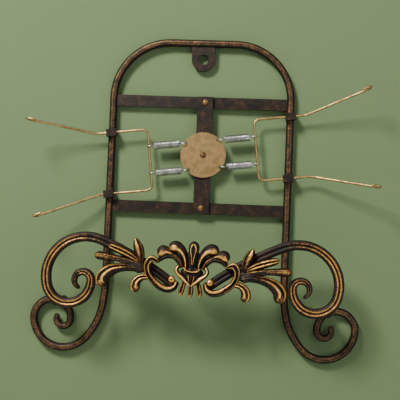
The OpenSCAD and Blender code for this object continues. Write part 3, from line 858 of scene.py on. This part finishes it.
crest = crest_middle().object("crest_casting", gilt, rough=0.14, rough_size=2.6, seed=31,
                              transform=crest_seated)
finished(crest, "root", "gilt_bronze", "crest_centre")
for side, left in SIDES.items():
    shell = crest_spray()
    if left:
        shell.mirrored()
    spray = shell.object("spray_casting_" + side, gilt, rough=0.26, rough_size=1.8,
                         seed=43 if left else 37, transform=crest_seated)
    finished(spray, "root", "gilt_bronze", "crest_spray_" + side)

# ---- Rivets, standoffs -----------------------------------------------------------------------

HEAD_R = 2.7
HEAD_H = 1.5
# A rivet's head from its top to its rim: radius and depth below the top
HEAD_DOME = [(HEAD_R * math.sin(a), HEAD_H * (1 - math.cos(a))) for a in (0.15, 0.5, 0.85, 1.2, 1.57)]


def rivet(shell, x, y, back, front):
    """A rivet with a domed head at each end, from one head's face to the other's."""
    lathe(shell, x, y, [(r, back - HEAD_H + h) for r, h in HEAD_DOME]
          + [(RIVET_R, back), (RIVET_R, front)]
          + [(r, front + HEAD_H - h) for r, h in reversed(HEAD_DOME)], rub=0.55)


shell = Shell()
cross_offset = (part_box("upper_cross_bar")[0].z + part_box("upper_cross_bar")[1].z) / 2 / MM
cross_offset += eye_y - PLATE_RISE
flat_t = strap_front - (BACK_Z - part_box("upper_cross_bar")[0].y / MM)
for offset in (-cross_offset, cross_offset):
    rivet(shell, PLATE_SHIFT, PLATE_RISE + offset, strap_front - 2 * flat_t, strap_front)
rivet(shell, PLATE_SHIFT, PLATE_RISE, strap_front - flat_t, hub_front)
heads = shell.object("frame_rivet_heads", frame_bronze, rough=0.05, rough_size=2)
finished(heads, "root", "back_bronze", "frame_rivets")

SHANK_SUNK = 1.0        # how far a crest rivet's shank runs into its casting
head = [(r, bar_back - HEAD_H + h) for r, h in HEAD_DOME]
shank = [(RIVET_R, bar_back), (RIVET_R, crest_z + SHANK_SUNK)]
shell = Shell()
for x in RIVET_SPOTS:
    lathe(shell, x, bar_y(x), head + shank, rub=0.4)
shell.mirrored(both=True)
heads = shell.object("crest_rivet_heads", frame_bronze, rough=0.05, rough_size=2)
finished(heads, "root", "back_bronze", "crest_rivets")

STANDOFF_R = 3.2
STANDOFF_START = BACK_Z + 1     # inside the back bar
# How much wider than its rod a standoff is at each share of its length, at its two welds
FLARES = ((0.3, 0.0), (0.2, 0.06), (0.05, 0.14), (0.0, 0.2), (0.0, 0.8), (0.05, 0.9),
          (0.25, 0.985), (0.3, 1.0))
for side, left in SIDES.items():
    shell = Shell()
    lathe(shell, standoff_at[0], standoff_at[1],
          [(STANDOFF_R + flare, STANDOFF_START + share * (bar_back - STANDOFF_START))
           for flare, share in FLARES], rub=0.25)
    if left:
        shell.mirrored()
    post = shell.object("standoff_post_" + side, frame_bronze, rough=0.1, rough_size=4, seed=5)
    finished(post, "root", "back_bronze", "standoff_" + side)

# ---- Claws and springs -----------------------------------------------------------------------


def claw_frame(points, left):
    """Points in the claws' frame, x along their axis from the plate's centre, in elevation."""
    p = np.asarray(points, float).copy()
    if left:
        p[..., 0] *= -1
    c, s = math.cos(math.radians(CLAW_TURN)), math.sin(math.radians(CLAW_TURN))
    x = PLATE_SHIFT + p[..., 0] * c - p[..., 1] * s
    y = PLATE_RISE + p[..., 0] * s + p[..., 1] * c
    return np.stack([x, y, p[..., 2]], -1)


BENT_SPACING = 3.2      # from one ring to the next on a wire's straights


def bent(points, bends):
    """3D points with each inner corner rounded to its bend radius, as one dense line."""
    p = np.asarray(points, float)
    line = [p[0]]
    for k in range(1, len(p) - 1):
        a = (p[k] - p[k - 1]) / np.linalg.norm(p[k] - p[k - 1])
        b = (p[k + 1] - p[k]) / np.linalg.norm(p[k + 1] - p[k])
        turn = math.acos(np.clip(a @ b, -1, 1))
        trim = bends[k] * math.tan(turn / 2)
        inward = b - a * (a @ b)
        inward /= np.linalg.norm(inward)
        centre = p[k] - a * trim + inward * bends[k]
        for q in np.linspace(0, turn, max(4, round(math.degrees(turn) / 8))):
            line.append(centre - inward * bends[k] * math.cos(q) + a * bends[k] * math.sin(q))
    line.append(p[-1])
    dense = [line[0]]
    for a, b in zip(line, line[1:]):
        count = max(1, round(np.linalg.norm(b - a) / BENT_SPACING))
        dense += [a + (b - a) * k / count for k in range(1, count + 1)]
    return np.array(dense)


GUIDE_L = 9.0
arm_crosses = [
    abs((flip * upright_x - PLATE_SHIFT + level * ARM_HALF * math.sin(math.radians(CLAW_TURN)))
        / math.cos(math.radians(CLAW_TURN)))
    for flip in (-1, 1) for level in (-1, 1)
]
CLAW_TRAVEL = 15.0
LEG_BEND = 5.0
LEG_SPARE = 1.0         # between a leg's bend and its guide when the claw is in
SPLAY_SPARE = 2.0       # between a guide and the bend where the arm splays
leg_x = min(arm_crosses) - GUIDE_L / 2 - CLAW_TRAVEL - LEG_BEND - LEG_SPARE
splay_x = max(arm_crosses) + GUIDE_L / 2 + SPLAY_SPARE
RIM_T = 9.0             # how far a hook runs back past the rim
rim_z = hook_z - HOOK_CLEAR - WIRE_R
hook_r = PLATE_R + HOOK_CLEAR + WIRE_R
hook_c, hook_s = math.cos(math.radians(HOOK_SPREAD)), math.sin(math.radians(HOOK_SPREAD))
arm = [
    ((hook_r - HOOK_L) * hook_c, (hook_r - HOOK_L) * hook_s, hook_z),
    (hook_r * hook_c, hook_r * hook_s, hook_z),
    (hook_r * hook_c, hook_r * hook_s, rim_z - RIM_T),
    (splay_x, ARM_HALF, wire_z),
    (leg_x, ARM_HALF, wire_z),
]
BENDS = [0, 2.2, 3, 6, LEG_BEND]
claw_line = bent(arm + [(x, -y, z) for x, y, z in reversed(arm)], BENDS + BENDS[::-1])

NECK_L = 0.6            # between a spring's loop and its coil
COIL_PITCH = 2.5        # from turn to turn, in radii of the wire
COIL_POINTS = 16        # points along each turn
inner_loop_x = math.sqrt(HUB_R**2 - SPRING_Y**2) + HOOK_CLEAR + SPRING_WIRE_R
outer_loop_x = leg_x - (LOOP_R - SPRING_WIRE_R - WIRE_R - HOOK_CLEAR)


def spring_line(y):
    """One wire: loop, coil with narrow gaps, loop, with its coil axis along the claws' x."""
    r = SPRING_R - SPRING_WIRE_R
    start = inner_loop_x + LOOP_R + NECK_L
    end = outer_loop_x - LOOP_R - NECK_L
    turns = round((end - start) / (COIL_PITCH * SPRING_WIRE_R))
    q = np.linspace(0, 1, turns * COIL_POINTS + 1)
    coil = np.stack([start + (end - start) * q, y + r * np.sin(2 * np.pi * turns * q),
                     wire_z + r * np.cos(2 * np.pi * turns * q)], 1)
    loop = np.linspace(math.pi * 1.75, 0.12, 26)
    level = np.full_like(loop, y)
    inner = np.stack([inner_loop_x + LOOP_R * np.cos(loop), level,
                      wire_z + LOOP_R * np.sin(loop)], 1)
    outer = np.stack([outer_loop_x - LOOP_R * np.cos(loop), level,
                      wire_z + LOOP_R * np.sin(loop)], 1)[::-1]
    return np.vstack([inner, coil, outer])


for side, left in SIDES.items():
    shell = Shell()
    tube(shell, claw_frame(claw_line, left), WIRE_R, sides=16)
    claw = shell.object("claw_" + side, brass_wire, rough=0.03, rough_size=3)
    finished(claw, side + "_claw", "claw_brass", "claw_wire_" + side)
    for level, sign in (("upper", 1), ("lower", -1)):
        shell = Shell()
        tube(shell, claw_frame(spring_line(sign * SPRING_Y), left), SPRING_WIRE_R, sides=8)
        name = side + "_" + level
        coil = shell.object("coil_" + name, steel_wire)
        finished(coil, None, "spring_steel", "spring_" + name)
        ends = rows(claw_frame([(inner_loop_x + LOOP_R, sign * SPRING_Y, wire_z),
                                (outer_loop_x - LOOP_R, sign * SPRING_Y, wire_z)], left))
        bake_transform(coil)

# ---- CAD pieces kept in shape, with their edges softened -------------------------------------


BEVEL_ANGLE = 40        # degrees between two faces, past which their edge is bevelled
SMOOTH_ANGLE = 10       # up to which it is always shaded smooth
FRAME_RUB = 0.16


def softened(node, name, material, slot, edge_mm):
    """A copy of a CAD node with bevelled edges and an even rub, in place of the node."""
    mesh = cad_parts[node].data.copy()
    mesh.name = name
    piece = bpy.data.objects.new(name, mesh)
    bpy.context.scene.collection.objects.link(piece)
    work = bmesh.new()
    work.from_mesh(mesh)
    bmesh.ops.remove_doubles(work, verts=work.verts, dist=1e-6)
    bmesh.ops.dissolve_limit(work, angle_limit=math.radians(1), verts=work.verts, edges=work.edges)
    bevel_turn = math.radians(BEVEL_ANGLE)
    sharp = [e for e in work.edges if e.is_manifold and e.calc_face_angle(0) > bevel_turn]
    bmesh.ops.bevel(work, geom=sharp, offset=edge_mm * MM, segments=2, profile=0.5, affect="EDGES",
                    clamp_overlap=True)
    bmesh.ops.triangulate(work, faces=[f for f in work.faces if len(f.verts) > 4])
    for face in work.faces:
        face.smooth = True
    for edge in work.edges:
        # Flat faces stay flat right up to their narrow bevels
        turn = math.degrees(edge.calc_face_angle(0))
        areas = sorted(face.calc_area() for face in edge.link_faces)
        similar = areas[-1] < 6 * areas[0]
        edge.smooth = turn < SMOOTH_ANGLE or (turn < BEVEL_ANGLE and similar)
    work.to_mesh(mesh)
    work.free()
    layer = mesh.attributes.new("rub", "FLOAT", "POINT")
    layer.data.foreach_set("value", np.full(len(mesh.vertices), FRAME_RUB, np.float32))
    mesh.materials.clear()
    mesh.materials.append(material)
    finished(piece, "root", slot, node)


softened("hanging_eye", "eye_plate", frame_bronze, "back_bronze", 0.4)
softened("upper_cross_bar", "cross_bar_upper", frame_bronze, "back_bronze", 0.35)
softened("lower_cross_bar", "cross_bar_lower", frame_bronze, "back_bronze", 0.35)
softened("centre_strap", "strap", frame_bronze, "back_bronze", 0.35)
softened("spring_hub", "hub_plate", brass_wire, "claw_brass", 0.3)
softened("guide_blocks", "guides", frame_bronze, "back_bronze", 0.3)
softened("wall_pads", "pads", pad_rubber, "pad_rubber", 0.3)

# ---- Stage, light and camera -----------------------------------------------------------------


def plain(name, colour, roughness):
    """A matt painted surface with a very faint mottle."""
    n = Nodes(name)
    shade = n.span(n.noise(180.0, detail=2.0), 0.3, 0.7)
    lighter = tuple(min(1.0, c * 1.03) for c in colour)
    n.set(Base_Color=n.mix(shade, colour, lighter), Roughness=roughness)
    return n


def plane(name, corners, material):
    """A flat sheet of the stage, which isn't part of the object."""
    mesh = bpy.data.meshes.new(name)
    mesh.from_pydata(corners, [], [(0, 1, 2, 3)])
    mesh.materials.append(material)
    piece = bpy.data.objects.new(name, mesh)
    bpy.context.scene.collection.objects.link(piece)


WALL_COLOUR = (0.086, 0.134, 0.055)
FLOOR_COLOUR = (0.62, 0.63, 0.60)
FLOOR_DROP = 0.16       # from the rack's lowest point to the floor, in metres
REACH = 3.0             # how far the stage reaches, in metres
wall_y = cad_box[1].y
floor_z = cad_box[0].z - FLOOR_DROP

# The wall shows from the front only, so that the rack's back can be seen from behind it
wall_nodes = plain("wall_paint", WALL_COLOUR, 0.85)
geometry = wall_nodes.add("ShaderNodeNewGeometry")
clear = wall_nodes.add("ShaderNodeBsdfTransparent")
choice = wall_nodes.add("ShaderNodeMixShader")
output = wall_nodes.tree.nodes["Material Output"]
wall_nodes.link(geometry.outputs["Backfacing"], choice.inputs["Fac"])
wall_nodes.link(wall_nodes.shader.outputs["BSDF"], choice.inputs[1])
wall_nodes.link(clear.outputs["BSDF"], choice.inputs[2])
wall_nodes.link(choice.outputs["Shader"], output.inputs["Surface"])
plane("wall", [(-REACH, wall_y, floor_z), (REACH, wall_y, floor_z), (REACH, wall_y, REACH),
               (-REACH, wall_y, REACH)], wall_nodes.material)
plane("floor", [(-REACH, -REACH, floor_z), (REACH, -REACH, floor_z), (REACH, REACH, floor_z),
                (-REACH, REACH, floor_z)], plain("floor_paint", FLOOR_COLOUR, 0.8).material)


def area_light(name, at, to, size, power, colour=(1, 1, 1)):
    """A round soft light at one point that faces another, in metres and watts."""
    data = bpy.data.lights.new(name, "AREA")
    data.shape = "DISK"
    data.size = size
    data.energy = power
    data.color = colour
    light = bpy.data.objects.new(name, data)
    light.location = at
    light.rotation_mode = "QUATERNION"
    light.rotation_quaternion = (Vector(to) - Vector(at)).to_track_quat("-Z", "Y")
    bpy.context.scene.collection.objects.link(light)


middle = (cad_box[0] + cad_box[1]) / 2
area_light("key", (-0.55, -0.95, 0.75), middle, 0.4, 40, (1.0, 0.965, 0.91))
area_light("fill", (0.9, -1.1, 0.1), middle, 1.2, 8, (0.93, 0.96, 1.0))
area_light("rear", (0.3, 1.2, 0.6), middle, 1.0, 10)
world = bpy.data.worlds.new("studio")
world.use_nodes = True
world.node_tree.nodes["Background"].inputs["Color"].default_value = (0.86, 0.90, 0.93, 1.0)
world.node_tree.nodes["Background"].inputs["Strength"].default_value = 0.14
bpy.context.scene.world = world

CAMERA_AT = (0.0572, -0.8286, -0.1653)
CAMERA_YAW = 3.81       # degrees to the left
CAMERA_PITCH = 2.78     # degrees up
CAMERA_ROLL = 2.39      # degrees, so that the rack leans clockwise in the picture
CAMERA_LENS = 84.6      # millimetres, on a 36 mm wide sensor
camera = bpy.data.cameras.new("camera")
camera.lens = CAMERA_LENS
camera.sensor_width = 36
camera.clip_end = 20
view = bpy.data.objects.new("camera", camera)
view.matrix_world = (
    Matrix.Translation(CAMERA_AT)
    @ Matrix.Rotation(math.radians(CAMERA_YAW), 4, "Z")
    @ Matrix.Rotation(math.radians(90 + CAMERA_PITCH), 4, "X")
    @ Matrix.Rotation(math.radians(CAMERA_ROLL), 4, "Z")
)
bpy.context.scene.collection.objects.link(view)
bpy.context.scene.camera = view
